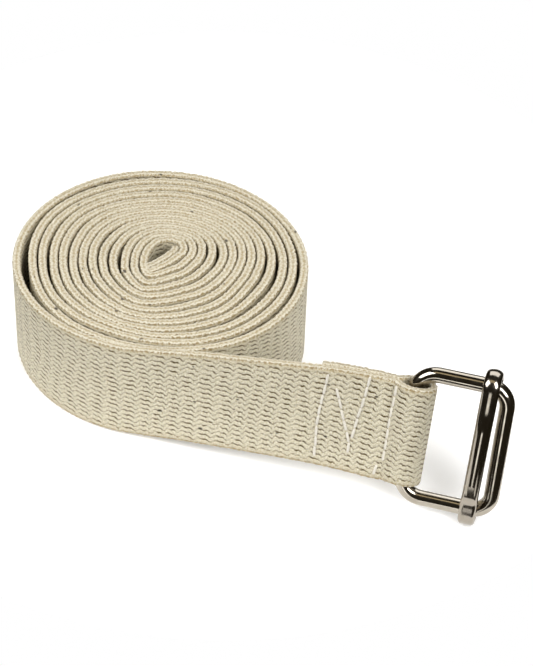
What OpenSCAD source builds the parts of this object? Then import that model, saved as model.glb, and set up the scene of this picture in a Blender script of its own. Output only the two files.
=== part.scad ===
// Gait belt: a flat woven cotton strap rolled up on its edge, with a wire buckle that has a
// sliding cross bar sewn into its outer end. Millimetres, +Z up. The origin is on the floor at
// the axis of the roll, and +X runs along the free end of the strap towards the buckle.

/* [Webbing] */
// Width of the webbing, which stands upright
webbing_w = 38; // [34:1:39]
// Thickness of one layer of webbing
webbing_t = 2.6; // [2.2:0.1:2.6]

/* [Roll] */
// Number of turns in the roll
turns = 13; // [8:1:13]
// Mean slack between two turns at the left and right of the roll
slack_x = 0.94; // [0.5:0.01:1]
// Mean slack between two turns at the front and back of the roll
slack_y = 0.41; // [0.4:0.01:0.5]
// Half the size of the open eye along X
eye_half_x = 4.5; // [4.5:0.5:6]
// Half the size of the open eye along Y
eye_half_y = 8; // [7:0.5:8]
// Distance that the eye lies left of the roll's middle
eye_left = 2.5; // [2:0.1:3]
// Distance that the eye lies behind the roll's middle
eye_behind = 3.4; // [2:0.1:3.4]
// Length of the hem turned under at the inner end, as a share of a turn
hem_share = 0.32; // [0.2:0.01:0.36]

/* [Sewn end] */
// Distance along X from the axis of the roll to the bar that the webbing is folded round
bar_x = 98.9; // [85:0.1:120]
// Distance along Y from the axis of the roll forward to that bar
bar_y = 46; // [44:0.1:48]
// Height of the buckle's middle above the floor
bar_z = 27.4; // [27.4:0.1:32]
// Angle that the buckle leans back from upright
lean = 20; // [10:1:20]
// Length of the fold-back, from the bar to its cut end
fold_back = 31.6; // [26:0.1:40]
// Distance from the bar at which the two layers come together
closing = 5; // [4.8:0.1:5.2]
// Width of the webbing where the buckle's corners squeeze it
squeezed_w = 35; // [30:0.5:35]

/* [Buckle frame] */
// Diameter of the frame's wire
wire_d = 5.3; // [4:0.1:5.3]
// Clear space between the frame's rails
rail_gap = 40.4; // [40.4:0.1:44]
// Length of the frame along the strap, between the middles of its two bars
frame_l = 30.7; // [28:0.1:36]
// Radius of the frame's corners at the middle of the wire
bend_r = 5.2; // [4.5:0.1:5.2]

/* [Slide bar] */
// Width of the slide bar's flattened ends, along the strap
slide_w = 5.7; // [4.5:0.1:6]
// Thickness of the flattened ends
slide_t = 3.1; // [2:0.1:3.1]
// Diameter of the round middle of the slide bar
rod_d = 5.6; // [4:0.1:5.6]
// Length of the round middle
rod_l = 23; // [16:1:28]
// Distance between the middles of the slide bar and the frame's end bar
slide_back = 6.3; // [6.2:0.1:12]

/* [Stitches] */
// Length of one stitch
stitch_l = 2.9; // [2:0.1:4]
// Distance from one stitch to the next
stitch_pitch = 3.7; // [3:0.1:6]
// Width of the sewing thread
thread_w = 0.8; // [0.4:0.1:1]
// Height of the thread above the webbing
thread_h = 0.35; // [0.2:0.05:0.5]

/* [Hidden] */
$fn = 64;

cotton = "#d8d0ba";
white_thread = "#f2efe8";
nickel = "#b9b4aa";

// Roll: the outer surface's half sizes shrink by one pitch for each turn inwards
steps_per_turn = 36;
pitch_x = webbing_t + slack_x;
pitch_y = webbing_t + slack_y;
roll_half_x = eye_half_x + webbing_t + turns * pitch_x;
roll_half_y = eye_half_y + webbing_t + turns * pitch_y;

// Tail: three stretches that turn the strap from upright to the buckle's lean
tail_stretches = 3;
slice = 0.02;
tail_end_x = bar_x - fold_back;
layer_gap = 0.1;

// Buckle
wire_r = wire_d / 2;
rail_z = (rail_gap + wire_d) / 2;
pin_clearance = 0.08;
hook_clearance = 0.15;
bore_r = wire_r + pin_clearance;
fold_r = bore_r + webbing_t;
hook_in = wire_r + hook_clearance;
hook_out = hook_in + slide_t;
hook_lip = 1.2;
slide_x = frame_l - slide_back;
squeeze_start = -3.2;
loop_angle = 120;

// Ends of each row of stitches, as [distance from the bar, height], on the sewn end
bar_row = [[-7, 16.5], [-7.4, -17.5]];
end_row = [[-28.8, 17], [-30.2, -16]];
vee_left = [[-25.8, 13], [-19.4, -6.5]];
vee_right = [[-15.2, 18], [-18.2, -5.5]];
vee_tail = [[-18.9, -7.2], [-18.9, -12.5]];

// Point on the roll, n turns in from the outside and depth below the outer surface
function roll_point(n, depth) =
    [-(roll_half_x - pitch_x * n - depth) * sin(360 * n) - eye_left * n / turns,
     -(roll_half_y - pitch_y * n - depth) * cos(360 * n) + eye_behind * n / turns];

// Outline of the strip that runs from turn n0 to turn n1 between two depths
function strip(n0, n1, near, far) =
    let (steps = ceil((n1 - n0) * steps_per_turn))
    concat([for (i = [0:steps]) roll_point(n0 + (n1 - n0) * i / steps, near)],
           [for (i = [steps:-1:0]) roll_point(n0 + (n1 - n0) * i / steps, far)]);

// Puts children at the bar: X along the strap, Z up the leaning bar, -Y towards the front
module at_bar() {
    translate([bar_x, -bar_y, bar_z]) rotate([-lean, 0, 0]) children();
}

// Extrudes a profile drawn as [distance from the bar, distance to the front] up the bar
module up_the_bar(width) {
    mirror([0, 1, 0]) linear_extrude(height = width, center = true) children();
}

// One upright slice of the tail, at a share of the way from the roll to the sewn end
module tail_slice(share) {
    thick = webbing_t - share * layer_gap / 2;
    roll_y = -(roll_half_y - webbing_t / 2);
    end_y = -bar_y - ((webbing_t + layer_gap / 2) / 2) * cos(lean);
    end_z = bar_z + ((webbing_t + layer_gap / 2) / 2) * sin(lean);
    translate([(tail_end_x - slice) * share, roll_y + (end_y - roll_y) * share,
               webbing_w / 2 + (end_z - webbing_w / 2) * share])
        rotate([-lean * share, 0, 0])
            translate([0, -thick / 2, -webbing_w / 2]) cube([slice, thick, webbing_w]);
}

// Profile of the sewn end: two layers that part and pass round the bar
module fold_profile() {
    difference() {
        polygon(concat([[-fold_back, -webbing_t], [-closing - webbing_t / 2, -webbing_t]],
                       [for (a = [-loop_angle:6:loop_angle]) fold_r * [cos(a), sin(a)]],
                       [[-closing - webbing_t / 2, webbing_t], [-fold_back, webbing_t]]));
        circle(bore_r);
        polygon([[-fold_back - 1, layer_gap / 2], [-closing, layer_gap / 2],
                 bore_r * [cos(loop_angle), sin(loop_angle)],
                 bore_r * [cos(loop_angle), -sin(loop_angle)],
                 [-closing, -layer_gap / 2], [-fold_back - 1, -layer_gap / 2]]);
    }
}

// Outline of the sewn end seen from the front, narrowed where the buckle's corners are
module fold_outline() {
    half = webbing_w / 2;
    near = squeezed_w / 2;
    polygon([[-fold_back - 1, half], [-closing, half], [squeeze_start, near], [fold_r + 1, near],
             [fold_r + 1, -near], [squeeze_start, -near], [-closing, -half],
             [-fold_back - 1, -half]]);
}

// A row of stitches between two points, on the front and on the back of the sewn end
module stitch_row(from, to) {
    run = norm(to - from);
    count = max(1, floor((run + stitch_pitch - stitch_l) / stitch_pitch));
    first = (run - (count - 1) * stitch_pitch - stitch_l) / 2;
    tilt = atan2(to[1] - from[1], to[0] - from[0]);
    for (side = [-1, 1], i = [0:count - 1])
        translate([from[0], side * (webbing_t + thread_h / 2), from[1]])
            rotate([0, -tilt, 0])
                translate([first + i * stitch_pitch, -thread_h / 2, -thread_w / 2])
                    cube([stitch_l, thread_h, thread_w]);
}

module webbing_roll() {
    color(cotton) linear_extrude(webbing_w) polygon(strip(0, turns, 0, webbing_t));
}

module webbing_tail() {
    color(cotton)
        for (i = [0:tail_stretches - 1])
            hull() {
                tail_slice(i / tail_stretches);
                tail_slice((i + 1) / tail_stretches);
            }
}

module webbing_fold() {
    color(cotton)
        at_bar() intersection() {
            up_the_bar(webbing_w) fold_profile();
            rotate([90, 0, 0]) linear_extrude(height = 4 * fold_r, center = true) fold_outline();
        }
}

module webbing_hem() {
    color(cotton)
        linear_extrude(webbing_w)
            polygon(strip(turns - hem_share, turns, webbing_t + layer_gap,
                          2 * webbing_t + layer_gap));
}

module stitching_bar_row() {
    color(white_thread) at_bar() stitch_row(bar_row[0], bar_row[1]);
}

module stitching_vee() {
    color(white_thread) at_bar() {
        stitch_row(vee_left[0], vee_left[1]);
        stitch_row(vee_right[0], vee_right[1]);
        stitch_row(vee_tail[0], vee_tail[1]);
    }
}

module stitching_end_row() {
    color(white_thread) at_bar() stitch_row(end_row[0], end_row[1]);
}

module buckle_frame() {
    color(nickel) at_bar() {
        for (x = [0, frame_l])
            translate([x, 0, 0]) cylinder(r = wire_r, h = 2 * (rail_z - bend_r), center = true);
        for (side = [-1, 1])
            translate([frame_l / 2, 0, side * rail_z]) rotate([0, 90, 0])
                cylinder(r = wire_r, h = frame_l - 2 * bend_r, center = true);
        for (x = [0, 1], side = [-1, 1])
            translate([x == 0 ? bend_r : frame_l - bend_r, 0, side * (rail_z - bend_r)])
                rotate([90, x == 0 ? (side > 0 ? -90 : 180) : (side > 0 ? 0 : 90), 0])
                    rotate_extrude(angle = 90) translate([bend_r, 0]) circle(wire_r);
    }
}

// Profile of the slide bar's ends, drawn as [distance to the front, height]
module hook_profile() {
    for (side = [-1, 1]) {
        translate([0, side * rail_z]) difference() {
            circle(hook_out);
            circle(hook_in);
            translate([-2 * hook_out, side > 0 ? -4 * hook_out : 0])
                square([4 * hook_out, 4 * hook_out]);
        }
        translate([-hook_out, side > 0 ? rail_z - hook_lip : -rail_z]) square([slide_t, hook_lip]);
        translate([hook_in, side > 0 ? rod_l / 2 : -rail_z])
            square([slide_t, rail_z - rod_l / 2]);
    }
}

module slide_bar() {
    color(nickel) at_bar() translate([slide_x, 0, 0]) {
        rotate([0, 0, -90]) rotate([90, 0, 0])
            linear_extrude(height = slide_w, center = true) hook_profile();
        translate([0, -(hook_in + slide_t / 2), 0])
            cylinder(d = rod_d, h = rod_l, center = true);
    }
}

webbing_roll();
webbing_tail();
webbing_fold();
webbing_hem();
stitching_bar_row();
stitching_vee();
stitching_end_row();
buckle_frame();
slide_bar();
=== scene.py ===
"""Looks of a gait belt: flat woven cotton strap, rolled on its edge, with a plated wire buckle."""

from __future__ import annotations

import logging
import math
from collections.abc import Callable, Sequence
from dataclasses import dataclass, field
from enum import Enum

import bmesh
import bpy
import numpy as np
from mathutils import Matrix, Vector

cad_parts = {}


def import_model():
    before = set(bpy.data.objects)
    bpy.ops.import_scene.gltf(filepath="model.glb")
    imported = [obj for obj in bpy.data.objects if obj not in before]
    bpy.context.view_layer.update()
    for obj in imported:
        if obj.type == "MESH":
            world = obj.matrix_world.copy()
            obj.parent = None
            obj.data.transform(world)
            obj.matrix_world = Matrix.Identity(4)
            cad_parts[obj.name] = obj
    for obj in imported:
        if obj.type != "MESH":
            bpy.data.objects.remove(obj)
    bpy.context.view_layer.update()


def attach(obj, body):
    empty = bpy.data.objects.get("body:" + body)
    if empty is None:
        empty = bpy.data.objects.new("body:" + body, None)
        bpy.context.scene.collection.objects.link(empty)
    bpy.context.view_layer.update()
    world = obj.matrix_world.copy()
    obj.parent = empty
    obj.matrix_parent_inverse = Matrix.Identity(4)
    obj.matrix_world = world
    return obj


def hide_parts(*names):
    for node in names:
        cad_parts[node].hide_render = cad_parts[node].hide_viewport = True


Array = np.ndarray
Line = Sequence[tuple[float, float]]
Object = bpy.types.Object
Point = tuple[float, float, float]
Socket = bpy.types.NodeSocket
Tree = bpy.types.NodeTree

MM = 0.001
LOG = logging.getLogger("gait_belt")


class Side(Enum):
    """The two faces of the sewn end that stitches show on."""

    FRONT = 1
    BACK = -1


def linear_colour(code: str) -> tuple[float, float, float, float]:
    """Turns an sRGB colour into the linear one that shaders and lights take.

    Args:
        code: Six hex digits, with or without a leading hash.

    Returns:
        Linear red, green, blue and an alpha of 1.
    """
    parts = [int(code.lstrip("#")[i : i + 2], 16) / 255 for i in (0, 2, 4)]
    red, green, blue = (c / 12.92 if c <= 0.04045 else ((c + 0.055) / 1.055) ** 2.4 for c in parts)
    return red, green, blue, 1.0


def add_node(
    tree: Tree, kind: str, inputs: dict[str | int, object] | None = None, **settings: object
) -> bpy.types.Node:
    """Adds one shader node, with its settings, values and links.

    Args:
        tree: The node tree that it joins.
        kind: The node's type without its "ShaderNode" prefix.
        inputs: A value or another node's output socket for each input, by name or number.
        settings: Properties of the node itself.

    Returns:
        The new node.
    """
    node = tree.nodes.new("ShaderNode" + kind)
    for name, value in settings.items():
        setattr(node, name, value)
    for key, value in (inputs or {}).items():
        if isinstance(value, Socket):
            tree.links.new(value, node.inputs[key])
        else:
            node.inputs[key].default_value = value
    return node


def soft_noise(at: Array, seed: float) -> Array:
    """Smooth repeatable wobble made of four sines.

    Args:
        at: Where it is read; one unit is about one swing.
        seed: Shifts the swings, so that two wobbles differ.

    Returns:
        Values between -1 and 1.
    """
    total = np.zeros_like(at)
    for i, (rate, weight) in enumerate(((1.0, 0.4), (1.83, 0.27), (3.1, 0.2), (5.3, 0.13))):
        total += weight * np.sin(2 * math.pi * rate * at + seed * (2.3 + 1.7 * i) + 1.9 * i)
    return total


def through(points: Line, at: Array) -> Array:
    """Reads a smooth curve that passes through given points.

    Args:
        points: Pairs of position and value, in rising order of position.
        at: Where the curve is read.

    Returns:
        The curve's values.
    """
    x, y = np.array([p[0] for p in points]), np.array([p[1] for p in points])
    slope = np.gradient(y, x)
    i = np.clip(np.searchsorted(x, at) - 1, 0, len(x) - 2)
    step = x[i + 1] - x[i]
    t = np.clip((at - x[i]) / step, 0, 1)
    rise = t * t * (3 - 2 * t)
    return (
        y[i] * (1 - rise)
        + y[i + 1] * rise
        + step * (slope[i] * (t**3 - 2 * t**2 + t) + slope[i + 1] * (t**3 - t**2))
    )


@dataclass(frozen=True)
class Finish:
    """What every finish has: a name and a new material to fill."""

    name: str

    def blank(self) -> tuple[bpy.types.Material, Tree]:
        """Starts a material with an empty node tree.

        Returns:
            The material and its node tree.
        """
        material = bpy.data.materials.new(self.name)
        material.use_nodes = True
        material.node_tree.nodes.clear()
        return material, material.node_tree

    def material(self) -> bpy.types.Material:
        """Returns the finished material."""
        raise NotImplementedError

    @staticmethod
    def maths(tree: Tree, kind: str, *values: float | Socket, use_clamp: bool = False) -> Socket:
        """Adds one sum, and returns its result."""
        return add_node(tree, "Math", dict(enumerate(values)), operation=kind, use_clamp=use_clamp).outputs[0]

    @staticmethod
    def spread(
        tree: Tree,
        value: Socket,
        between: tuple[float, float],
        onto: tuple[float, float] = (0.0, 1.0),
        kind: str = "LINEAR",
    ) -> Socket:
        """Maps a value from one range onto another, and returns the result."""
        inputs = dict(enumerate((value, *between, *onto)))
        return add_node(tree, "MapRange", inputs, interpolation_type=kind).outputs[0]

    @staticmethod
    def noise(tree: Tree, place: Socket, scale: float, detail: float, rough: float) -> Socket:
        """Adds flat noise with this many swings to a unit of length, and returns its strength."""
        inputs = {"Vector": place, "Scale": scale, "Detail": detail, "Roughness": rough}
        return add_node(tree, "TexNoise", inputs, noise_dimensions="2D").outputs[0]

    @staticmethod
    def squeezed(tree: Tree, place: Socket, x: float, y: float) -> Socket:
        """Multiplies places along X and Y, which shrinks a pattern that way, and returns them."""
        return add_node(tree, "Mapping", {"Vector": place, "Scale": (x, y, 1.0)}).outputs[0]

    @staticmethod
    def blend(tree: Tree, share: Socket, first: Socket | str, second: Socket | str) -> Socket:
        """Mixes two colours, each a socket or a hex code, and returns the result."""
        first, second = (linear_colour(c) if isinstance(c, str) else c for c in (first, second))
        return add_node(tree, "Mix", {0: share, 6: first, 7: second}, data_type="RGBA").outputs[2]


@dataclass(frozen=True)
class Cloth:
    """What the parts of a weave share: places on the cloth in millimetres, and two noises."""

    tree: Tree
    place: Socket
    along: Socket
    across: Socket
    edge: Socket
    crest: Socket
    fibre: Socket
    jitter: Socket


@dataclass(frozen=True)
class CottonWebbing(Finish):
    """Natural undyed cotton, woven flat on a narrow loom.

    Thick lengthwise yarns snake over the crosswise ones, so the face shows wavy pale cords with
    short tan shadows between them, and specks of seed husk. Cotton scatters light: it has no gloss.
    """

    name: str = "natural cotton webbing, narrow woven"
    # From one cord to the next, from one wave to the next, and how far a wave swings, in millimetres.
    cord_pitch: float = 1.95
    wave_length: float = 5.6
    wave_height: float = 0.48
    # From one bead of the selvedge to the next, along it and across it, and the weave's relief.
    bead_pitch: float = 1.7
    bead_row: float = 1.2
    relief: float = 0.28
    pale: str = "#E2DDCC"
    mid: str = "#AFA37C"
    lip: str = "#BFB69C"
    shaded: str = "#4E3C15"
    husk: str = "#33291D"
    # Painted shade: the colour of the edge's sides, darkened for the shade in the gaps between turns.
    flank_shade_colour: str = "#978050"

    def material(self) -> bpy.types.Material:
        """Builds the weave on the strap's own map, whose units are millimetres along and across.

        Returns:
            The finished material.
        """
        material, tree = self.blank()
        cloth = self.cloth(tree)
        phase = self.wave_phase(cloth)
        crown = self.cord_crown(cloth, phase)
        bead, ridge = self.beads(cloth)
        face = self.face_colour(cloth, self.shadows(cloth, phase, crown))
        colour = self.blend(tree, cloth.edge, face, self.rim_colour(cloth, bead, ridge))
        colour = self.blend(tree, self.husk_specks(cloth), colour, self.husk)
        height = self.height(cloth, phase, crown, bead, ridge)
        bump = add_node(tree, "Bump", {"Height": height, "Strength": 0.8, "Distance": self.relief * MM})
        shader = add_node(
            tree,
            "BsdfPrincipled",
            {
                "Base Color": colour,
                "Roughness": 0.92,
                "Normal": bump.outputs[0],
                "Sheen Weight": 0.08,
                "Sheen Roughness": 0.5,
            },
        )
        add_node(tree, "OutputMaterial", {0: shader.outputs[0]})
        return material

    def cloth(self, tree: Tree) -> Cloth:
        """Reads the strap's map and attributes, and adds the two noises that all parts use.

        Args:
            tree: The material's node tree.

        Returns:
            What the parts of the weave share.
        """
        place = add_node(tree, "UVMap", uv_map="weave").outputs[0]
        parts = add_node(tree, "SeparateXYZ", {0: place}).outputs
        edge, crest = (
            add_node(tree, "Attribute", attribute_name=name).outputs["Fac"] for name in ("selvedge", "crest")
        )
        fibre = self.noise(tree, self.squeezed(tree, place, 1.0, 2.2), 1.7, 4.0, 0.75)
        jitter = self.noise(tree, place, 0.5, 2.0, 0.5)
        return Cloth(tree, place, parts[0], parts[1], edge, crest, fibre, jitter)

    def wave_phase(self, cloth: Cloth) -> Socket:
        """How far along its wave each place is; slow drift keeps neighbouring waves from repeating.

        Args:
            cloth: What the parts of the weave share.

        Returns:
            The phase, in radians.
        """
        tree = cloth.tree
        drift = self.noise(tree, cloth.place, 0.055, 2.0, 0.5)
        turns = self.maths(tree, "MULTIPLY", cloth.along, 2 * math.pi / self.wave_length)
        phase = self.maths(tree, "MULTIPLY_ADD", drift, 7.0, turns)
        return self.maths(tree, "MULTIPLY_ADD", cloth.jitter, 1.6, phase)

    def cord_crown(self, cloth: Cloth, phase: Socket) -> Socket:
        """How near each place is to the middle of its cord: 0 between two cords, 0.5 on the crown.

        Args:
            cloth: What the parts of the weave share.
            phase: How far along its wave each place is.

        Returns:
            Values from 0 to 0.5.
        """
        tree = cloth.tree
        skew = self.maths(tree, "SINE", self.maths(tree, "MULTIPLY_ADD", phase, 2.0, 0.9))
        wave = self.maths(tree, "MULTIPLY_ADD", skew, 0.7, self.maths(tree, "SINE", phase))
        swing = self.maths(tree, "MULTIPLY", self.maths(tree, "SUBTRACT", 1.0, cloth.edge), self.wave_height)
        moved = self.maths(tree, "MULTIPLY_ADD", wave, swing, cloth.across)
        moved = self.maths(tree, "MULTIPLY_ADD", cloth.jitter, 0.5, moved)
        ragged = self.noise(tree, cloth.place, 2.3, 2.0, 0.6)
        moved = self.maths(tree, "MULTIPLY_ADD", ragged, 0.6, moved)
        return self.maths(tree, "PINGPONG", self.maths(tree, "DIVIDE", moved, self.cord_pitch), 0.5)

    def shadows(self, cloth: Cloth, phase: Socket, crown: Socket) -> Socket:
        """Shadows between cords: deepest where the wave falls, and faded here and there.

        Args:
            cloth: What the parts of the weave share.
            phase: How far along its wave each place is.
            crown: How near each place is to the middle of its cord.

        Returns:
            How deep the shadow is, from 0 to 1.
        """
        tree = cloth.tree
        fall = self.maths(tree, "COSINE", self.maths(tree, "ADD", phase, 0.5))
        depth = self.spread(tree, fall, (1.0, -0.7), (0.42, 1.1))
        patches = self.noise(tree, self.squeezed(tree, cloth.place, 0.5, 1.0), 0.9, 4.0, 0.7)
        depth = self.maths(tree, "MULTIPLY", depth, self.spread(tree, patches, (0.36, 0.6), (0.2, 1.2)))
        line = self.spread(tree, crown, (0.22, 0.07), kind="SMOOTHSTEP")
        return self.maths(tree, "MULTIPLY", line, depth, use_clamp=True)

    def beads(self, cloth: Cloth) -> tuple[Socket, Socket]:
        """The selvedge, where the crosswise yarn turns back: waves along it and across it.

        Args:
            cloth: What the parts of the weave share.

        Returns:
            The two waves, each from -1 to 1.
        """
        tree = cloth.tree
        turns = self.maths(tree, "MULTIPLY", cloth.along, 2 * math.pi / self.bead_pitch)
        bead = self.maths(tree, "SINE", self.maths(tree, "MULTIPLY_ADD", cloth.jitter, 14.0, turns))
        rows = self.maths(tree, "MULTIPLY", cloth.across, 2 * math.pi / self.bead_row)
        return bead, self.maths(tree, "COSINE", rows)

    def height(self, cloth: Cloth, phase: Socket, crown: Socket, bead: Socket, ridge: Socket) -> Socket:
        """Height of the surface: each float of yarn is fattest half way between two crossings.

        Args:
            cloth: What the parts of the weave share.
            phase: How far along its wave each place is.
            crown: How near each place is to the middle of its cord.
            bead: Waves along the selvedge.
            ridge: Waves across it.

        Returns:
            The height, as a share of the weave's relief.
        """
        tree = cloth.tree
        plump = self.maths(tree, "COSINE", self.maths(tree, "MULTIPLY", phase, 2.0))
        body = self.spread(tree, crown, (0.0, 0.42), kind="SMOOTHERSTEP")
        cords = self.maths(tree, "MULTIPLY_ADD", plump, 0.12, body)
        beads = self.spread(tree, self.maths(tree, "MULTIPLY_ADD", bead, 0.6, ridge), (-1.6, 1.6))
        woven = add_node(tree, "Mix", {0: cloth.edge, 2: cords, 3: beads}).outputs[0]
        return self.maths(tree, "MULTIPLY_ADD", cloth.fibre, 0.5, woven)

    def face_colour(self, cloth: Cloth, line: Socket) -> Socket:
        """The face: pale crowns, yellower between their fibres, with tan shadows.

        Args:
            cloth: What the parts of the weave share.
            line: How deep the shadow is.

        Returns:
            The face's colour.
        """
        tone = self.spread(cloth.tree, cloth.fibre, (0.36, 0.6))
        cords = self.blend(cloth.tree, tone, self.mid, self.pale)
        return self.blend(cloth.tree, line, cords, self.shaded)

    def rim_colour(self, cloth: Cloth, bead: Socket, ridge: Socket) -> Socket:
        """The selvedge: pale lips, with painted shade in the crease between them and on their sides below,
        where the gaps between turns lie in shade.

        Args:
            cloth: What the parts of the weave share.
            bead: Waves along the selvedge.
            ridge: Waves across it.

        Returns:
            The selvedge's colour.
        """
        tree = cloth.tree
        # Painted shade on the edge's sides below the crest, where the gaps between turns lie in shade.
        painted_flank_shade = self.maths(tree, "MULTIPLY_ADD", cloth.fibre, 1.1, cloth.crest)
        painted_flank_shade = self.maths(tree, "MULTIPLY_ADD", bead, 0.22, painted_flank_shade)
        painted_flank_shade = self.spread(tree, painted_flank_shade, (1.2, 0.66), (0.0, 0.95))
        # Painted shade in the crease along the middle of the crest.
        painted_groove_shade = self.maths(tree, "MULTIPLY_ADD", bead, 0.05, cloth.crest)
        painted_groove_shade = self.maths(tree, "MULTIPLY_ADD", cloth.fibre, 0.8, painted_groove_shade)
        painted_flank_shade = self.maths(tree, "MAXIMUM", painted_flank_shade, self.spread(tree, painted_groove_shade, (1.26, 1.44), (0.0, 0.85)))
        knobs = self.maths(tree, "MULTIPLY", bead, ridge)
        knobs = self.maths(tree, "MULTIPLY_ADD", knobs, 0.07, cloth.fibre)
        lips = self.blend(tree, self.spread(tree, knobs, (0.38, 0.58)), self.lip, self.pale)
        return self.blend(tree, painted_flank_shade, lips, self.flank_shade_colour)

    def husk_specks(self, cloth: Cloth) -> Socket:
        """Specks of seed husk, of chance size: about half of the cells have none.

        Args:
            cloth: What the parts of the weave share.

        Returns:
            How much of a speck covers each place.
        """
        tree = cloth.tree
        cells = add_node(
            tree,
            "TexVoronoi",
            {"Vector": self.squeezed(tree, cloth.place, 0.6, 1.0), "Scale": 0.11},
            voronoi_dimensions="2D",
        ).outputs
        chance = add_node(tree, "SeparateColor", {0: cells["Color"]}).outputs[0]
        size = self.maths(tree, "MAXIMUM", self.spread(tree, chance, (0.45, 1.0), (0.0, 0.075)), 0.001)
        speck = self.maths(tree, "DIVIDE", cells["Distance"], size)
        return self.spread(tree, speck, (1.0, 0.55), (0.0, 0.9))


@dataclass(frozen=True)
class SewingThread(Finish):
    """White spun cotton thread: two plies twisted together, with a faint sheen."""

    name: str = "white spun sewing thread"
    white: str = "#F4F1EA"
    # Painted shade for the grooves between the plies.
    shade: str = "#CFC8B8"

    def material(self) -> bpy.types.Material:
        """Builds the twist as slanting bands along the stitch, with painted shade in the grooves between the
        plies.

        Returns:
            The finished material.
        """
        material, tree = self.blank()
        place = add_node(tree, "UVMap", uv_map="twist").outputs[0]
        inputs = {"Vector": place, "Scale": 2.2, "Distortion": 0.6, "Detail": 1.0}
        twist = add_node(tree, "TexWave", inputs, bands_direction="DIAGONAL").outputs[1]
        # Painted shade: the low places of the twist, between the plies, take the darker colour.
        colour = self.blend(tree, twist, self.shade, self.white)
        bump = add_node(tree, "Bump", {"Height": twist, "Strength": 0.5, "Distance": 0.1 * MM}).outputs[0]
        shader = add_node(tree, "BsdfPrincipled", {"Base Color": colour, "Roughness": 0.8, "Normal": bump})
        add_node(tree, "OutputMaterial", {0: shader.outputs[0]})
        return material


@dataclass(frozen=True)
class NickelPlate(Finish):
    """Drawn steel wire, nickel plated: a bright, slightly warm mirror, faintly clouded and rippled."""

    name: str = "nickel plated steel wire"
    colour: str = "#A9A296"
    dull: str = "#7E7767"
    roughness: float = 0.09

    def material(self) -> bpy.types.Material:
        """Builds the plate; its clouds and ripples keep it from being a perfect mirror.

        Returns:
            The finished material.
        """
        material, tree = self.blank()
        place = add_node(tree, "TexCoord").outputs["Object"]
        cloud = add_node(tree, "TexNoise", {"Vector": place, "Scale": 220.0, "Detail": 4.0}).outputs[0]
        haze = self.spread(tree, cloud, (0.35, 0.75), (self.roughness, self.roughness + 0.1))
        mix = self.spread(tree, cloud, (0.45, 0.8), (0.0, 0.5))
        colour = self.blend(tree, mix, self.colour, self.dull)
        ripple = add_node(tree, "TexNoise", {"Vector": place, "Scale": 90.0, "Detail": 2.0}).outputs[0]
        bump = add_node(tree, "Bump", {"Height": ripple, "Strength": 0.25, "Distance": 0.1 * MM}).outputs[0]
        shader = add_node(
            tree, "BsdfPrincipled", {"Base Color": colour, "Metallic": 1.0, "Roughness": haze, "Normal": bump}
        )
        add_node(tree, "OutputMaterial", {0: shader.outputs[0]})
        return material


@dataclass(frozen=True)
class LightTable(Finish):
    """Milky table top, faintly lit from below, which keeps shadows pale."""

    name: str = "milky light table"
    white: str = "#FAFAFA"
    glow: float = 0.24

    def material(self) -> bpy.types.Material:
        """Builds matt white with a faint glow.

        Returns:
            The finished material.
        """
        material, tree = self.blank()
        white = linear_colour(self.white)
        shader = add_node(
            tree,
            "BsdfPrincipled",
            {"Base Color": white, "Roughness": 1.0, "Emission Color": white, "Emission Strength": self.glow},
        )
        add_node(tree, "OutputMaterial", {0: shader.outputs[0]})
        return material


def deselect_everything() -> None:
    """Clears the selection and leaves edit mode, so that the next operator starts clean."""
    if bpy.context.object and bpy.context.object.mode != "OBJECT":
        bpy.ops.object.mode_set(mode="OBJECT")
    bpy.ops.object.select_all(action="DESELECT")


def pick(obj: Object, wanted: Callable[[Vector], bool]) -> None:
    """Selects, in edit mode, the vertices that pass a test, and nothing else.

    Args:
        obj: The object in edit mode.
        wanted: Says whether a vertex at this place is selected.
    """
    bpy.ops.mesh.select_mode(type="VERT")
    bpy.ops.mesh.select_all(action="DESELECT")
    mesh = bmesh.from_edit_mesh(obj.data)
    for vertex in mesh.verts:
        vertex.select = wanted(vertex.co)
    mesh.select_flush_mode()
    bmesh.update_edit_mesh(obj.data)


def start_piece(name: str) -> Object:
    """Names the primitive just added, puts its place in its mesh, and selects all of it in edit mode.

    Args:
        name: What the piece is called.

    Returns:
        The piece.
    """
    obj = bpy.context.object
    obj.name = obj.data.name = name
    bpy.ops.object.transform_apply(location=True, rotation=True, scale=True)
    bpy.ops.object.mode_set(mode="EDIT")
    bpy.ops.mesh.select_all(action="SELECT")
    return obj


def close_seams(threshold: float) -> None:
    """Merges points that meet, turns all faces outwards and leaves edit mode.

    Args:
        threshold: Points nearer than this, in millimetres, are merged.
    """
    bpy.ops.mesh.select_all(action="SELECT")
    bpy.ops.mesh.remove_doubles(threshold=threshold * MM)
    bpy.ops.mesh.normals_make_consistent(inside=False)
    bpy.ops.object.mode_set(mode="OBJECT")


def extrude(x: float, y: float, z: float) -> None:
    """Extrudes what is selected by this much, in millimetres."""
    bpy.ops.mesh.extrude_region_move(TRANSFORM_OT_translate={"value": (x * MM, y * MM, z * MM)})


def unit(vectors: Array) -> Array:
    """Scales each row to length 1."""
    return vectors / np.linalg.norm(vectors, axis=1)[:, None]


def distances(points: Array) -> Array:
    """Distance along a line of points, at each of them."""
    return np.concatenate([[0], np.cumsum(np.linalg.norm(np.diff(points, axis=0), axis=1))])


@dataclass
class BuckleAxes:
    """The buckle's leaning axes, u along the strap, v up the bar, w to the front, and shared sizes."""

    bar: Vector
    wire_r: float
    rail_z: float = 22.85
    lean: float = 20.0

    def matrix(self) -> Matrix:
        """Returns the matrix that puts a piece drawn with X = u, Y = -w, Z = v in its place."""
        return Matrix.Translation(self.bar) @ Matrix.Rotation(math.radians(-self.lean), 4, "X")


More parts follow.
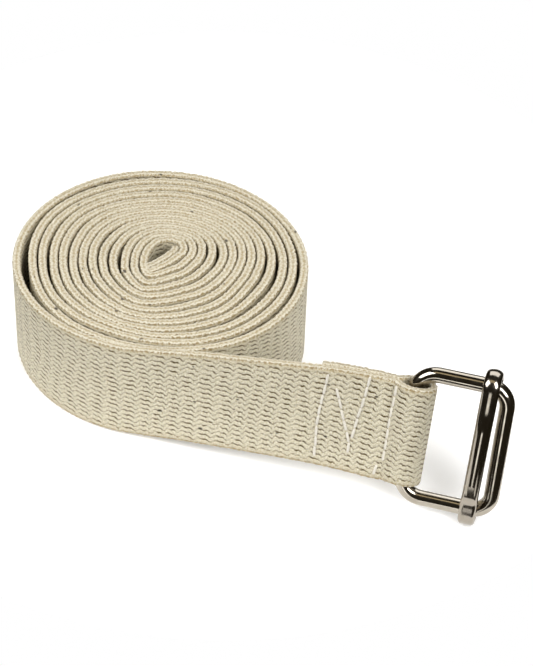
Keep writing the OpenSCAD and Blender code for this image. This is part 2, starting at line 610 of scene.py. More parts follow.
@dataclass
class StrapLine:
    """The line that the strap follows, from the hem in the eye of the roll to its cut end.

    All sizes are in millimetres. The roll runs clockwise seen from above, and n counts its turns
    from the outside in. Angles in turns are 0 at the front, 0.25 left, 0.5 behind, 0.75 right.
    """

    width: float = 38.0
    thick: float = 2.6
    turns: int = 13
    step: float = 0.56
    bar_x: float = 98.9
    bar_y: float = -46.0
    bar_z: float = 27.4
    wire_r: float = 2.65
    # Distance from the bar back to the strap's cut end, and to where the loop's layers meet.
    fold_back: float = 31.6
    closing: float = 6.4
    # Room between the loop and the wire, and between two layers that lie against each other.
    loop_room: float = 1.25
    layer_gap: float = 0.12
    # The buckle's corners squeeze this much off each edge, and push the strap up the bar.
    squeeze: float = 1.0
    push: float = 0.2
    # The tail's start lies this far behind the bar, and the hem this much above the table.
    set_back: float = 0.24
    hem_lift: float = 0.15
    # How much more the loop's front layer is pushed, and how far the loop widens per unit of height.
    front_push: float = 3.0
    flare: float = 0.02
    rim_half: tuple[float, float] = (53.5, 49.73)
    rim_shift: float = -0.5
    rim_pitch: tuple[float, float] = (3.54, 3.01)
    # Gap between turns and their thickness: at front and back, what the sides add, and unevenness.
    turn_gap: Point = (0.16, 0.24, 0.1)
    turn_thick: Point = (2.52, 0.4, 0.06)
    # The tail comes away from the roll, and down to the table, within these shares of a turn.
    parting: float = 0.12
    landing: float = 0.16
    points_per_turn: int = 720
    # What is left of a gap, as a share, where the turns are squeezed hardest.
    least_slack: float = 0.15
    # The eye's wall, as share of a turn from the front, X and Y.
    eye_wall: tuple[Point, ...] = (
        (-0.125, 2.3, -1.8), (0.0, -2.2, -7.0), (0.125, -5.2, -3.4), (0.25, -6.1, 2.2),
        (0.375, -5.0, 7.6), (0.5, -2.3, 10.3), (0.625, 1.4, 10.7), (0.75, 3.1, 7.2), (0.875, 0.6, 1.2),
        (1.0, -2.5, -3.6), (1.125, -3.4, -2.4),
    )
    hem_share: float = 0.32
    # How far the tail leans back, in degrees, and how high its middle runs, at places along X.
    lean_along: Line = (
        (0, 4.2), (11, 5.4), (20, 6.7), (30, 8.2), (40, 9.6), (50, 11.2), (60, 13.0), (67, 14.5),
        (75, 16.2), (85, 18.2), (92, 19.5), (99, 20.0),
    )
    middle_z: Line = (
        (0, 20.0), (8, 20.9), (20, 22.6), (30, 23.8), (40, 24.9), (50, 25.9), (60, 26.9), (67, 27.5),
        (75, 27.9), (85, 27.8), (99, 27.4),
    )
    # Places where two turns stand apart: turn and angle of the outer one, how much, how far round.
    pockets: tuple[Point, ...] = (
        (0.21, 1.9, 0.07), (0.46, 2.6, 0.1), (0.76, 1.0, 0.07), (1.24, 0.3, 0.06), (1.5, 1.9, 0.11),
        (1.76, 0.3, 0.06), (2.24, 0.7, 0.07), (2.52, 1.9, 0.1), (2.76, 1.4, 0.06), (3.47, 1.4, 0.09),
        (3.75, 0.9, 0.05), (4.26, 0.6, 0.06), (4.5, 0.5, 0.05), (6.5, 0.3, 0.05), (7.27, 0.7, 0.06),
        (8.25, 0.5, 0.06), (8.74, 0.9, 0.06), (9.23, 0.9, 0.06), (9.74, 0.6, 0.06), (1.02, 0.3, 0.06),
    )

    def rim(self, n: Array) -> Array:
        """Points of the roll's outer face, n turns in from where the tail leaves it.

        Args:
            n: Turns in from where the tail leaves the roll.

        Returns:
            The points, in plan.
        """
        angle = 2 * math.pi * n
        x, y = (-(r - p * n) * f(angle) for r, p, f in zip(self.rim_half, self.rim_pitch, (np.sin, np.cos)))
        # The roll bulges a little to the left of where the tail leaves it.
        return np.stack([x + self.rim_shift * np.sin(math.pi * np.clip(n, 0, 1)), y], 1)

    def eye(self, share: Array) -> Array:
        """Points of the eye's wall."""
        return np.stack([through([(p[0], p[i]) for p in self.eye_wall], share) for i in (1, 2)], 1)

    def layers(self, n: Array) -> tuple[Array, Array]:
        """Gap behind the strap, before it is fitted, and its thickness, at n turns in.

        Args:
            n: Turns in from where the tail leaves the roll.

        Returns:
            The gap and the thickness.
        """
        sideways = np.sin(2 * math.pi * n) ** 2
        least, more, uneven = self.turn_gap
        gap = least + more * sideways + uneven * soft_noise(n * 2.7, 4.0)
        for place, amount, spread in self.pockets:
            gap = gap + amount * np.exp(-(((n - place) / spread) ** 2))
        least, more, uneven = self.turn_thick
        return gap, least + more * sideways + uneven * soft_noise(n * 6.1, 1.0)

    def roll(self) -> dict[str, Array]:
        """Fits the layers of the roll between its rim and its eye.

        Returns:
            Turns in, centre points in plan, thickness, lean and lift, from the tail in to the eye.
        """
        share = np.arange(self.points_per_turn) / self.points_per_turn
        rim, eye = self.rim(share), self.eye(share)
        room = np.linalg.norm(rim - eye, axis=1)
        heading = (eye - rim) / room[:, None]
        gaps, thicks = (np.array(rows) for rows in zip(*(self.layers(share + j) for j in range(self.turns))))
        slack = (room - thicks.sum(0)) / gaps[:-1].sum(0)
        slack = (np.roll(slack, 1) + 2 * slack + np.roll(slack, -1)) / 4
        # Each turn has to end with the slack that the next one starts with.
        slack = slack - (slack[-1] - slack[0]) * (share - 0.5)
        gaps = gaps * np.maximum(slack, self.least_slack)
        first = np.linalg.norm(self.rim(np.array([0.0])) - self.rim(np.array([1.0])))
        gaps[0] += (first - gaps[0][0] - thicks[0][0]) * np.clip(1 - share / self.parting, 0, 1) ** 2
        depth = np.cumsum(gaps + thicks, axis=0) - gaps - thicks / 2
        plan = np.concatenate([rim + heading * d[:, None] for d in depth])
        n = np.concatenate([share + j for j in range(self.turns)])
        lean, lift = self.roll_lean(n), self.roll_lift(n)
        return {"n": n, "plan": plan, "thick": thicks.ravel(), "lean": lean, "lift": lift}

    def roll_lean(self, n: Array) -> Array:
        """How far the turns lean back, in degrees: only the outer ones, and only at the front.

        Args:
            n: Turns in from where the tail leaves the roll.

        Returns:
            The lean, in degrees.
        """
        aside = np.abs((n + 0.5) % 1.0 - 0.5)
        front = np.cos(math.pi * np.clip(aside / 0.2, 0, 1) / 2) ** 2
        return self.lean_along[0][1] * front * np.clip(1 - n / 6, 0, 1)

    def roll_lift(self, n: Array) -> Array:
        """How far the lower edge stands above the table: the tail starts raised, the rest is uneven.

        Args:
            n: Turns in from where the tail leaves the roll.

        Returns:
            The lift.
        """
        uneven = 0.2 * (1 + soft_noise(n * 1.9, 7.0))
        start = self.middle_z[0][1] - self.width / 2
        return start * np.clip(1 - n / self.landing, 0, 1) ** 2 + uneven * np.clip(n / 0.3, 0, 1)

    def frame_at(self, x: Array) -> tuple[Array, Array, Array]:
        """Lean in radians, and the middle line's Y and Z, at this far along X.

        Args:
            x: Places along X.

        Returns:
            The lean, Y and Z.
        """
        lean = np.radians(through(self.lean_along, x))
        y = self.bar_y + self.set_back * (self.bar_x - x) / self.bar_x
        return lean, y, through(self.middle_z, x)

    def sewn_point(self, u: Array, v: Array, w: Array) -> Array:
        """Places points of the tail and the sewn end.

        Args:
            u: Along the strap, from the bar.
            v: Up the strap, from its middle.
            w: To the front, from between the two layers.

        Returns:
            Points in the part's frame, in millimetres.
        """
        lean, y, z = self.frame_at(self.bar_x + u)
        return np.stack(
            [
                self.bar_x + u + 0 * v,
                y - np.cos(lean) * w + np.sin(lean) * v,
                z + np.sin(lean) * w + np.cos(lean) * v,
            ],
            -1,
        )

    def loop_line(self) -> Array:
        """The strap's middle line round the bar, as u and w, from the tail's start to the cut end.

        Returns:
            The line's points.
        """
        half = self.thick / 2
        radius = self.wire_r + self.loop_room + half
        level = half + self.layer_gap / 2
        away = math.hypot(self.closing, level)
        start = 180 - math.degrees(math.atan2(level, self.closing)) - math.degrees(math.acos(radius / away))
        turn = np.radians(np.linspace(start, -start, 61))
        front = [(-self.bar_x, level), (-30, level), (-self.closing, level)]
        back = [(-self.closing, -level), (-30, -level), (-self.fold_back, -level)]
        arc = list(zip(radius * np.cos(turn), radius * np.sin(turn)))
        line = even_line(np.array(front + arc + back), 0.1)
        # A short moving average rounds the corners where the stretches meet.
        reach = 9
        kernel = np.hanning(2 * reach + 1)
        kernel /= kernel.sum()
        padded = np.concatenate([np.repeat(line[:1], reach, 0), line, np.repeat(line[-1:], reach, 0)])
        smooth = np.stack([np.convolve(column, kernel, "valid") for column in padded.T], 1)
        smooth[0], smooth[-1] = line[0], line[-1]
        return smooth

    def face_level(self, u: float) -> float:
        """How far the sewn end's outer face stands from between the layers, this far from the bar.

        Args:
            u: Along the strap, from the bar.

        Returns:
            The level of the outer face.
        """
        line = self.loop_line()
        along, level = line[(line[:, 1] > 0) & (line[:, 0] < -1)].T
        slope = np.gradient(level, along)
        return float(np.interp(u, along, level + self.thick / 2 * np.sqrt(1 + slope**2)))

    def stations(self) -> dict[str, Array]:
        """Everything that the strap's cross-section needs along its whole length.

        Returns:
            Arrays of centre points, directions across the strap, thickness, width and length so far.
        """
        roll = self.roll()
        plan, n, lean = roll["plan"], roll["n"], np.radians(roll["lean"])
        ahead = unit(np.gradient(plan, axis=0))
        outwards = np.stack([-ahead[:, 1], ahead[:, 0], 0 * n], 1)
        up = np.array([0.0, 0.0, 1.0])
        side = np.cos(lean)[:, None] * up - np.sin(lean)[:, None] * outwards
        centre = np.column_stack([plan, roll["lift"]]) + side * self.width / 2
        hem = self.hem(plan, n, roll["thick"])
        loop = self.loop_line()
        u, w = loop[:, 0], loop[:, 1]
        half, shift = self.width_at(u)
        # The wire's bend lifts the front layer as it comes round the bar.
        shift = shift * (1 + self.front_push * np.clip(w / 5, 0, 1))
        # The loop widens a little from its foot, which fits the wire's bend, to its top.
        flare = np.clip((u + 4) / 8, 0, 1) * self.flare
        foot = self.width / 2
        middle = self.sewn_point(u + flare * (shift + foot), shift, w)
        above = self.sewn_point(u + flare * (shift + foot + 1), shift + 1.0, w) - middle
        parts = [
            (hem["centre"], hem["side"], hem["thick"], np.full(len(hem["thick"]), self.width)),
            (centre[::-1], side[::-1], roll["thick"][::-1], np.full(len(n), self.width)),
            (middle[1:], above[1:], np.full(len(u) - 1, self.thick), 2 * half[1:]),
        ]
        return even_stations(parts, self.step)

    def width_at(self, u: Array) -> tuple[Array, Array]:
        """Half the strap's width and its shift up the bar: the buckle's corners squeeze it."""
        near = np.exp(-((np.minimum(u + 1.0, 0) / 5.5) ** 2))
        return self.width / 2 - self.squeeze * near, self.push * near

    def hem(self, plan: Array, n: Array, thick: Array) -> dict[str, Array]:
        """The flap turned under inside the eye, from its cut end to the turn that joins it to the roll.

        Args:
            plan: Centre points of the roll, in plan.
            n: Their turns in.
            thick: The strap's thickness at each.

        Returns:
            The flap's centre points, directions across and thickness.
        """
        inner = n > self.turns - self.hem_share
        line, half = plan[inner], thick[inner] / 2
        ahead = unit(np.gradient(line, axis=0))
        inwards = np.stack([ahead[:, 1], -ahead[:, 0]], 1)
        flap = line + inwards * (2 * half + self.layer_gap)[:, None]
        end, tip, over = line[-1], ahead[-1], inwards[-1]
        reach = half[-1] + self.layer_gap / 2
        middle = end + over * reach
        turn = np.radians(np.arange(75.0, -80.0, -15.0))
        bend = np.array([middle + reach * (math.cos(a) * tip + math.sin(a) * over) for a in turn])
        path = np.concatenate([flap, bend])
        count = len(path)
        centre = np.column_stack([path, np.full(count, self.width / 2 + self.hem_lift)])
        return {
            "centre": centre,
            "side": np.tile([0.0, 0.0, 1.0], (count, 1)),
            "thick": np.full(count, float(thick[-1])),
        }


def even_line(points: Array, step: float) -> Array:
    """Resamples a line at an even step.

    Args:
        points: The line's points.
        step: Distance from one new point to the next.

    Returns:
        The new points.
    """
    run = distances(points)
    at = np.linspace(0, run[-1], max(2, round(run[-1] / step) + 1))
    return np.stack([np.interp(at, run, column) for column in points.T], 1)


def even_stations(parts: list[tuple[Array, Array, Array, Array]], step: float) -> dict[str, Array]:
    """Joins stretches of strap and resamples them at an even step.

    Args:
        parts: Centre points, directions across, thickness and width of each stretch, in order.
        step: Distance from one station to the next.

    Returns:
        The same four along the whole strap, with the length so far.
    """
    table = np.concatenate([np.column_stack([c, s, t, w]) for c, s, t, w in parts])
    run = distances(table[:, :3])
    keep = np.concatenate([[True], np.diff(run) > 1e-6])
    table, run = table[keep], run[keep]
    at = np.linspace(0, run[-1], round(run[-1] / step) + 1)
    even = np.stack([np.interp(at, run, column) for column in table.T], 1)
    centre, side, thick, wide = even[:, :3], unit(even[:, 3:6]), even[:, 6], even[:, 7]
    return {"centre": centre, "side": side, "thick": thick, "wide": wide, "run": at}


@dataclass(frozen=True)
class EdgePoint:
    """One point in a quarter of the strap's outline.

    Its inset from the edge is in millimetres, and its height is a share of half the thickness.
    Selvedge is 1 on the woven edge and 0 on the face, and crest is 1 at the very edge.
    """

    inset: float
    height: float
    selvedge: float
    crest: float


@dataclass
class Webbing:
    """The whole strap as one closed piece of cloth."""

    line: StrapLine
    finish: CottonWebbing
    # From the edge's crest in to the face.
    section: tuple[EdgePoint, ...] = (
        EdgePoint(0.12, 0.0, 1.0, 1.0),
        EdgePoint(0.0, 0.62, 1.0, 0.8),
        EdgePoint(0.3, 0.95, 1.0, 0.35),
        EdgePoint(1.3, 1.0, 0.2, 0.0),
        EdgePoint(3.6, 1.0, 0.0, 0.0),
    )
    piece: Object | None = None
    length: float = 0.0

    def outline(self) -> list[tuple[int, int, EdgePoint]]:
        """The whole outline: which edge, which face and which point of the section, in order round it.

        Returns:
            Edge, face and point of the section, one after the other.
        """
        crest, *inwards = self.section
        outwards = inwards[::-1]
        return [
            (1, 1, crest),
            *((1, 1, point) for point in inwards),
            *((-1, 1, point) for point in outwards),
            (-1, -1, crest),
            *((-1, -1, point) for point in inwards),
            *((1, -1, point) for point in outwards),
        ]

    def offsets(self, at: dict[str, Array], edge: int, face: int, point: EdgePoint) -> Array:
        """Where a point of the outline lies along the strap, with the weave's small unevenness.

        Args:
            at: The strap's stations.
            edge: 1 for the upper edge, -1 for the lower one.
            face: 1 for the outer face, -1 for the inner one.
            point: The point in its quarter of the outline.

        Returns:
            How far it lies up the strap and out of it, in two rows.
        """
        run, seed = at["run"], 3.0 + edge
        up = 0.14 * soft_noise(run / 4.9, seed) + 0.16 * soft_noise(run / 1.9, seed + 4)
        on_edge = point.inset < 2
        reach = at["wide"] / 2 - point.inset + up * min(1.0, point.crest + 0.3) * on_edge
        over = 0.2 * soft_noise(run / 3.1, seed + 9) + 0.2 * soft_noise(run / 1.37, seed + 2)
        # Beads of the turned-back yarn swell each face's rim on its own.
        swell = 0.24 * soft_noise(run / 2.3, seed + 5 * face) * (0.2 < point.crest < 0.9)
        aside = face * (point.height * at["thick"] / 2 + swell) + over * point.crest
        return np.stack([edge * reach, aside])

    def build(self) -> None:
        """Sweeps the outline along the strap's line and closes both ends."""
        at = self.line.stations()
        centre, side, run = at["centre"], at["side"], at["run"]
        # The strap is laid out from the eye outwards, so this points out of the roll.
        out = unit(np.cross(np.gradient(centre, axis=0), side))
        self.length = float(run[-1])
        outline = self.outline()
        columns = []
        for edge, face, point in outline:
            up, aside = self.offsets(at, edge, face, point)
            columns.append(centre + side * up[:, None] + out * aside[:, None])
        points = np.stack(columns, 1) * MM
        count, around = points.shape[:2]
        index = np.arange(count * around).reshape(count, around)
        here, there = index[:-1], index[1:]
        quads = np.stack([here, np.roll(here, -1, 1), np.roll(there, -1, 1), there], -1).reshape(-1, 4)
        mesh = bpy.data.meshes.new("webbing")
        mesh.from_pydata(points.reshape(-1, 3).tolist(), [], quads.tolist())
        self.piece = bpy.data.objects.new("webbing", mesh)
        bpy.context.scene.collection.objects.link(self.piece)
        self.close_ends(mesh, index)
        self.map_weave(mesh, run, self.places_round())
        for name in ("selvedge", "crest"):
            values = np.tile([getattr(point, name) for _, _, point in outline], count).astype(np.float32)
            mesh.attributes.new(name, "FLOAT", "POINT").data.foreach_set("value", values)
        mesh.polygons.foreach_set("use_smooth", [True] * len(mesh.polygons))
        mesh.update()

    def places_round(self) -> Array:
        """Distance round the outline of each of its points, stretched to a whole number of cords.

        Returns:
            The distances, the last of which is the whole way round.
        """
        half, thick = self.line.width / 2, self.line.thick / 2
        spots = [(edge * (half - p.inset), face * thick * p.height) for edge, face, p in self.outline()]
        steps = [math.dist(spots[i], spots[(i + 1) % len(spots)]) for i in range(len(spots))]
        places = np.concatenate([[0], np.cumsum(steps)])
        pitch = self.finish.cord_pitch
        return places * round(places[-1] / pitch) * pitch / places[-1]

    def close_ends(self, mesh: bpy.types.Mesh, index: Array) -> None:
        """Closes the two cut ends with strips of faces from one edge to the other.

        Args:
            mesh: The strap's mesh.
            index: Its vertices, one row a station.
        """
        work = bmesh.new()
        work.from_mesh(mesh)
        work.verts.ensure_lookup_table()
        around = index.shape[1]
        for ring in (index[0], index[-1]):
            for i in range(around // 2):
                corners = dict.fromkeys(int(ring[j % around]) for j in (i, i + 1, around - i - 1, around - i))
                work.faces.new([work.verts[c] for c in corners])
        bmesh.ops.recalc_face_normals(work, faces=work.faces)
        work.to_mesh(mesh)
        work.free()

    def map_weave(self, mesh: bpy.types.Mesh, run: Array, places: Array) -> None:
        """Gives each corner its place on the cloth, in millimetres along and around the strap.

        Args:
            mesh: The strap's mesh.
            run: Length of strap up to each station.
            places: Distance round the outline of each of its points.
        """
        around = len(places) - 1
        layer = mesh.uv_layers.new(name="weave")
        corners = np.empty(len(mesh.loops), np.int64)
        mesh.loops.foreach_get("vertex_index", corners)
        station, spot = corners // around, corners % around
        across = places[:-1][spot]
        total = np.empty(len(mesh.polygons), np.int64)
        mesh.polygons.foreach_get("loop_total", total)
        face = np.repeat(np.arange(len(total)), total)
        most = np.zeros(len(total))
        np.maximum.at(most, face, spot)
        # On the faces that close the outline, the first point is one whole round further on.
        across = np.where((most[face] == around - 1) & (spot == 0), places[-1], across)
        layer.data.foreach_set("uv", np.stack([run[station], across], 1).astype(np.float32).ravel())

    def dress(self) -> None:
        """Gives the strap its cloth and its place in the frame."""
        self.piece.data.materials.append(self.finish.material())
        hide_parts("webbing_roll", "webbing_tail", "webbing_fold", "webbing_hem")
        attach(self.piece, "strap")


@dataclass
class Stitching:
    """Rows of thread through both layers of the sewn end."""

    line: StrapLine
    finish: SewingThread
    rows: dict[str, list[Line]] = field(
        default_factory=lambda: {
            "stitching_bar_row": [[(-5.9, 18.2), (-6.3, 3.0), (-6.9, -11.6)], [(-8.6, -12.6), (-9.5, -17.6)]],
            "stitching_vee": [
                [(-26.0, 13.2), (-20.5, -2.0), (-19.0, -7.0), (-19.0, -12.6)],
                [(-15.0, 18.6), (-16.0, 8.4), (-18.4, -5.6)],
            ],
            "stitching_end_row": [[(-28.8, 17.4), (-30.6, -4.0), (-30.0, -16.0)]],
        }
    )
    stitch: float = 3.7
    pitch: float = 4.1
    thread_r: float = 0.48
    # Step of the points along a row, and how far a stitch strays sideways.
    row_step: float = 0.25
    stray: float = 0.16
    pieces: list[Object] = field(default_factory=list)

    def model_stitch(self) -> Object:
        """Models one stitch lying along X on Z = 0: plump in the middle, drawn in at both ends.

        Returns:
            The stitch.
        """
        deselect_everything()
        half = self.stitch / 2
        bpy.ops.mesh.primitive_cylinder_add(
            vertices=8, radius=self.thread_r * MM, depth=1.2 * half * MM, rotation=(0, math.pi / 2, 0),
            end_fill_type="NGON",
        )
        obj = start_piece("stitch")
        for end in (-1, 1):
            for reach, size, drop in ((0.22, 0.86, 0.06), (0.2, 0.62, 0.3)):
                far = max(abs(v.co.x) for v in bmesh.from_edit_mesh(obj.data).verts if v.co.x * end > 0)
                pick(obj, lambda co: co.x * end > far - 1e-6)
                extrude(end * reach * half, 0, -drop * self.thread_r)
                bpy.ops.transform.resize(value=(1, size, size))
        bpy.ops.object.mode_set(mode="OBJECT")
        bpy.ops.object.shade_smooth()
        return obj

    def place_row(self, source: Object, name: str, lines: list[Line]) -> Object:
        """Copies the stitch along each line of a row, on both faces, and joins the copies.

        Args:
            source: The modelled stitch.
            name: The row's name.
            lines: Points of each line, as distances from the bar and up it.

        Returns:
            The row as one object.
        """
        copies = []
        for points in lines:
            run = even_line(np.array(points), self.row_step)
            length = (len(run) - 1) * self.row_step
            count = max(1, int((length + self.pitch - self.stitch) // self.pitch))
            first = (length - (count - 1) * self.pitch) / 2
            for side in Side:
                for i in range(count):
                    spot = first + i * self.pitch
                    wander = self.stray * math.sin(5.1 * i + 1.7 * side.value)
                    copies.append(self.place_stitch(source, run, spot, wander, side))
        deselect_everything()
        for copy in copies:
            copy.select_set(True)
        bpy.context.view_layer.objects.active = copies[0]
        bpy.ops.object.join()
        piece = bpy.context.object
        piece.name = piece.data.name = name + "_thread"
        return piece

    def place_stitch(self, source: Object, run: Array, spot: float, wander: float, side: Side) -> Object:
        """Copies one stitch to its spot on the strap's face, with its own mesh.

        Args:
            source: The modelled stitch.
            run: The row's line, in even steps.
            spot: Distance along that line.
            wander: How far the stitch strays sideways.
            side: The face that it lies on.

        Returns:
            The copy, with its place in its mesh.
        """
        i = min(max(round(spot / self.row_step), 1), len(run) - 2)
        (u0, v0), (u1, v1) = run[i - 1], run[i + 1]
        u, v = run[i] + wander * np.array([1.0, 0.0])
        depth = side.value * (self.line.face_level(float(u)) + 0.4 * self.thread_r)
        spots = np.array([(u, v, depth), (u + u1 - u0, v + v1 - v0, depth), (u, v, depth + side.value)])
        here, there, above = self.line.sewn_point(*spots.T)
        ahead, over = there - here, above - here
        x = Vector(ahead).normalized()
        z = (Vector(over) - Vector(over).dot(x) * x).normalized()
        y = z.cross(x)
        turn = Matrix((x, y, z)).transposed().to_4x4()
        copy = bpy.data.objects.new("stitch", source.data.copy())
        bpy.context.scene.collection.objects.link(copy)
        copy.data.transform(Matrix.Translation(Vector(here) * MM) @ turn)
        return copy

    def build(self) -> None:
        """Models one stitch and sews every row with it."""
        source = self.model_stitch()
        layer = source.data.uv_layers.active or source.data.uv_layers.new(name="twist")
        layer.name = "twist"
        for loop in source.data.loops:
            co = source.data.vertices[loop.vertex_index].co
            layer.data[loop.index].uv = (co.x / MM, math.atan2(co.y, co.z) / 3)
        for name, lines in self.rows.items():
            self.pieces.append(self.place_row(source, name, lines))
        bpy.data.objects.remove(source)

    def dress(self) -> None:
        """Gives the thread its finish and its place in the frame."""
        material = self.finish.material()
        for piece, name in zip(self.pieces, self.rows):
            piece.data.materials.clear()
            piece.data.materials.append(material)
            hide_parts(name)
            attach(piece, "strap")


@dataclass
class BuckleFrame:
    """The buckle's loop of round wire, modelled with X = u, Y = -w and Z = v."""

    axes: BuckleAxes
    finish: NickelPlate
    length: float = 30.7
    near_bend: float = 7.4
    far_bend: float = 6.6
    rail_steps: int = 6
    bend_steps: int = 12
    piece: Object | None = None

    def build(self) -> None:
        """Starts from a ring at the middle of the top rail, and draws it right round the loop."""
        deselect_everything()
        bpy.ops.mesh.primitive_circle_add(
            vertices=40, radius=self.axes.wire_r * MM, fill_type="NOTHING",
            location=(self.length / 2 * MM, 0, self.axes.rail_z * MM), rotation=(0, math.pi / 2, 0),
        )
        obj = start_piece("buckle_wire")
        near, far = self.near_bend, self.far_bend
        half = self.length / 2
        for (dx, dz), run, bend, centre in (
            ((1, 0), half - far, far, (self.length - far, self.axes.rail_z - far)),
            ((0, -1), 2 * (self.axes.rail_z - far), far, (self.length - far, far - self.axes.rail_z)),
            ((-1, 0), self.length - far - near, near, (near, near - self.axes.rail_z)),
            ((0, 1), 2 * (self.axes.rail_z - near), near, (near, self.axes.rail_z - near)),
            ((1, 0), half - near, 0.0, (0, 0)),
        ):
            for _ in range(self.rail_steps):
                extrude(dx * run / self.rail_steps, 0, dz * run / self.rail_steps)
            if bend:
                bpy.ops.mesh.spin(
                    steps=self.bend_steps, angle=-math.pi / 2,
                    center=(centre[0] * MM, 0, centre[1] * MM), axis=(0, 1, 0),
                )
        close_seams(0.02)
        bpy.ops.object.shade_smooth()
        obj.data.transform(self.axes.matrix())
        self.piece = obj

    def dress(self) -> None:
        """Gives the wire its finish and its place in the frame."""
        self.piece.data.materials.append(self.finish.material())
        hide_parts("buckle_frame")
        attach(self.piece, "frame")


@dataclass
class SlideBar:
    """The sliding cross bar: a rod pressed flat at both ends, which are bent back round the rails."""

    axes: BuckleAxes
    finish: NickelPlate
    place_u: float = 24.4
    rod_r: float = 2.8
    rod_ends: tuple[float, float] = (-15.6, 8.6)
    tapers: tuple[float, float] = (7.0, 3.4)
    # The pressed flat: where its step lies, how long the step is, and its depth as a share of the radius.
    facet_top: float = -11.4
    facet_step: float = 0.25
    facet_share: float = 0.76
    flat_w: float = 5.7
    flat_t: float = 3.1
    hook_in: float = 2.8
    # The hook's cut end: its straight run, and its rounded tip.
    hook_run: float = 0.9
    hook_tip: float = 0.3
    skew: float = 1.2
    piece: Object | None = None

    def build(self) -> None:
        """Starts from the round middle, presses its ends flat and bends them into hooks."""
        deselect_everything()
        depth = self.rod_ends[1] - self.rod_ends[0]
        front = -(self.hook_in + self.flat_t / 2)
        bpy.ops.mesh.primitive_cylinder_add(
            vertices=36, radius=self.rod_r * MM, depth=depth * MM, end_fill_type="NOTHING",
            location=(self.place_u * MM, front * MM, sum(self.rod_ends) / 2 * MM),
        )
        obj = start_piece("slide_rod")
        self.press_facet(obj, front)
        for end in (1, -1):
            self.press_end(obj, end, front)
            self.bend_hook(end)
        close_seams(0.01)
        bpy.ops.object.shade_smooth_by_angle(angle=math.radians(40))
        # The bar sits a little askew on its rails.
        middle = Matrix.Translation((self.place_u * MM, 0, 0))
        askew = middle @ Matrix.Rotation(math.radians(self.skew), 4, "Y") @ middle.inverted()
        obj.data.transform(self.axes.matrix() @ askew)
        self.piece = obj

    def press_facet(self, obj: Object, front: float) -> None:
        """Presses a short flat into the rod's front, from a step down to the lower taper.

        Args:
            obj: The rod, in edit mode.
            front: Y of the rod's axis, in millimetres.
        """
        foot = self.facet_top - self.facet_step
        level = (front - self.facet_share * self.rod_r) * MM
        for z in (self.facet_top, foot):
            bpy.ops.mesh.select_all(action="SELECT")
            bpy.ops.mesh.bisect(plane_co=(0, 0, z * MM), plane_no=(0, 0, 1))
        slack = 0.05
        pick(obj, lambda co: co.z < (foot + slack) * MM and co.y < level)
        bpy.ops.transform.resize(value=(1, 0, 1), center_override=(self.place_u * MM, level, 0))

    def press_end(self, obj: Object, end: int, front: float) -> None:
        """Draws one end of the rod out into a flat with rounded sides.

        Args:
            obj: The rod, in edit mode.
            end: 1 for the upper end, -1 for the lower one.
            front: Y of the rod's axis, in millimetres.
        """
        limit = self.rod_ends[1] if end > 0 else self.rod_ends[0]
        taper = self.tapers[0] if end > 0 else self.tapers[1]
        pick(obj, lambda co: abs(co.z - limit * MM) < 1e-5)
        wide, deep = 1.0, 1.0
        for step in (0.25, 0.5, 0.75, 1.0):
            extrude(0, 0, end * taper / 4)
            share = step * step * (3 - 2 * step)
            now_wide = 1 + share * (self.flat_w / self.rod_r / 2 - 1)
            now_deep = 1 + share * (self.flat_t / self.rod_r / 2 - 1)
            middle = (self.place_u * MM, front * MM, (limit + end * taper * step) * MM)
            bpy.ops.transform.resize(value=(now_wide / wide, now_deep / deep, 1), center_override=middle)
            wide, deep = now_wide, now_deep
        run = (self.axes.rail_z * end - (limit + end * taper)) / 3
        for _ in range(3):
            extrude(0, 0, run)

    def bend_hook(self, end: int) -> None:
        """Bends the selected end of the flat round its rail, and finishes the cut.

        Args:
            end: 1 for the upper end, -1 for the lower one.
        """
        rail = (self.place_u * MM, 0, end * self.axes.rail_z * MM)
        bpy.ops.mesh.spin(steps=16, angle=end * math.pi, center=rail, axis=(1, 0, 0))
        extrude(0, 0, -end * self.hook_run)
        extrude(0, 0, -end * self.hook_tip)
        bpy.ops.transform.resize(value=(0.88, 0.8, 1))
        bpy.ops.mesh.edge_face_add()

    def dress(self) -> None:
        """Gives the rod its finish and its place in the frame."""
        self.piece.data.materials.append(self.finish.material())
        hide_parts("slide_bar")
        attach(self.piece, "slide")


@dataclass(frozen=True)
class Softbox:
    """One soft studio light."""

    name: str
    place: Point
    aim: Point
    size: tuple[float, float]
    power: float
    colour: str = "#FFFFFF"

    def build(self) -> None:
        """Hangs the light and turns it towards what it lights."""
        light = bpy.data.lights.new(self.name, "AREA")
        light.shape, light.size, light.size_y = "RECTANGLE", *self.size
        light.energy, light.color = self.power, linear_colour(self.colour)[:3]
        obj = bpy.data.objects.new(self.name, light)
        obj.location = self.place
        obj.rotation_euler = (Vector(self.aim) - Vector(self.place)).to_track_quat("-Z", "Y").to_euler()
        bpy.context.scene.collection.objects.link(obj)


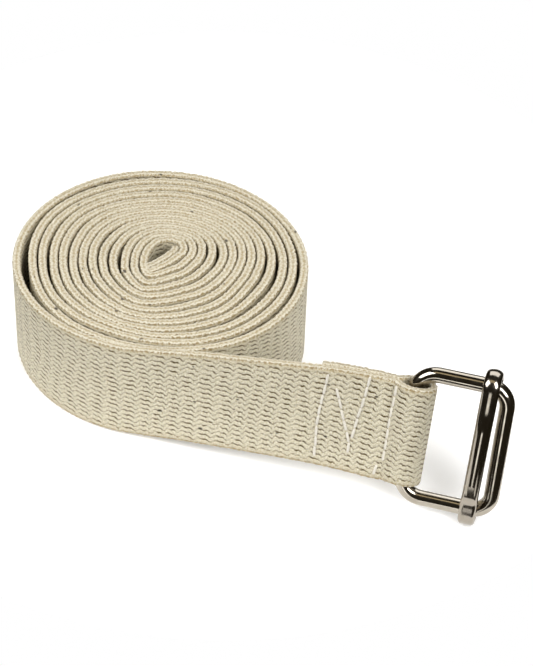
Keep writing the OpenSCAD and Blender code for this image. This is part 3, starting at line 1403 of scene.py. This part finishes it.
@dataclass
class Studio:
    """A white table, soft lights and the camera."""

    table: LightTable
    camera_at: Point = (0.1844, -0.588, 0.5988)
    aim: Point = (0.0344, 0.0136, 0.0)
    roll: float = 2.03
    lens: float = 128.9
    table_r: float = 0.16
    table_at: Point = (0.014, 0.028, -0.0002)
    # The metal mirrors the dark room, the camera sees a white one.
    room: str = "#332E24"
    backdrop: str = "#FFFFFF"
    softboxes: tuple[Softbox, ...] = (
        Softbox("left_softbox", (-0.62, -0.5, 0.85), (0.03, 0, 0), (0.6, 0.75), 11.1),
        Softbox("right_softbox", (0.72, -0.5, 0.8), (0.03, 0, 0), (0.4, 0.75), 10.2),
        Softbox("back_softbox", (0.1, 1.0, 0.9), (0.03, 0, 0), (1.4, 0.9), 9.0),
        Softbox("overhead_panel", (0.05, -0.3, 1.1), (0.08, 0, 0), (0.7, 0.3), 0.8, "#D9C9A6"),
        Softbox("front_card", (0.12, -1.1, -0.02), (0.08, 0, 0.03), (0.3, 0.22), 0.5),
    )

    def build(self) -> None:
        """Lays the table top, sets the room's light and hangs the softboxes."""
        deselect_everything()
        bpy.ops.mesh.primitive_circle_add(
            vertices=96, radius=self.table_r, fill_type="NGON", location=self.table_at
        )
        floor = bpy.context.object
        floor.name = "light_table"
        bpy.ops.object.transform_apply(location=True, rotation=True, scale=True)
        floor.data.materials.append(self.table.material())
        world = bpy.data.worlds.new("studio")
        world.use_nodes = True
        tree = world.node_tree
        tree.nodes.clear()
        seen = add_node(tree, "LightPath").outputs["Is Camera Ray"]
        colour = Finish.blend(tree, seen, self.room, self.backdrop)
        sky = add_node(tree, "Background", {0: colour, 1: 1.0})
        add_node(tree, "OutputWorld", {0: sky.outputs[0]})
        bpy.context.scene.world = world
        bpy.context.scene.view_settings.view_transform = "Standard"
        for box in self.softboxes:
            box.build()

    def aim_camera(self) -> None:
        """Places the camera."""
        camera = bpy.data.cameras.new("camera")
        camera.lens, camera.sensor_width = self.lens, 36.0
        camera.dof.use_dof = False
        obj = bpy.data.objects.new("camera", camera)
        obj.location = self.camera_at
        look = (Vector(self.aim) - Vector(self.camera_at)).to_track_quat("-Z", "Y").to_matrix()
        obj.rotation_euler = (look @ Matrix.Rotation(math.radians(self.roll), 3, "Z")).to_euler()
        bpy.context.scene.collection.objects.link(obj)
        bpy.context.scene.camera = obj


def main() -> None:
    """Builds the belt's looks in order and reports each piece."""
    logging.basicConfig(level=logging.INFO, format="%(name)s: %(message)s")
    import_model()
    studio = Studio(LightTable())
    studio.aim_camera()
    studio.build()
    line = StrapLine()
    axes = BuckleAxes(Vector((line.bar_x, line.bar_y, line.bar_z)) * MM, line.wire_r)
    webbing = Webbing(line, CottonWebbing())
    parts = [
        webbing,
        Stitching(line, SewingThread()),
        BuckleFrame(axes, NickelPlate()),
        SlideBar(axes, NickelPlate(name="nickel plated pressed rod", colour="#9C958A", roughness=0.12)),
    ]
    for part in parts:
        part.build()
        part.dress()
        LOG.info("%s is built", type(part).__name__)
    LOG.info("the strap is %.0f mm long", webbing.length)


if __name__ == "__main__":
    main()
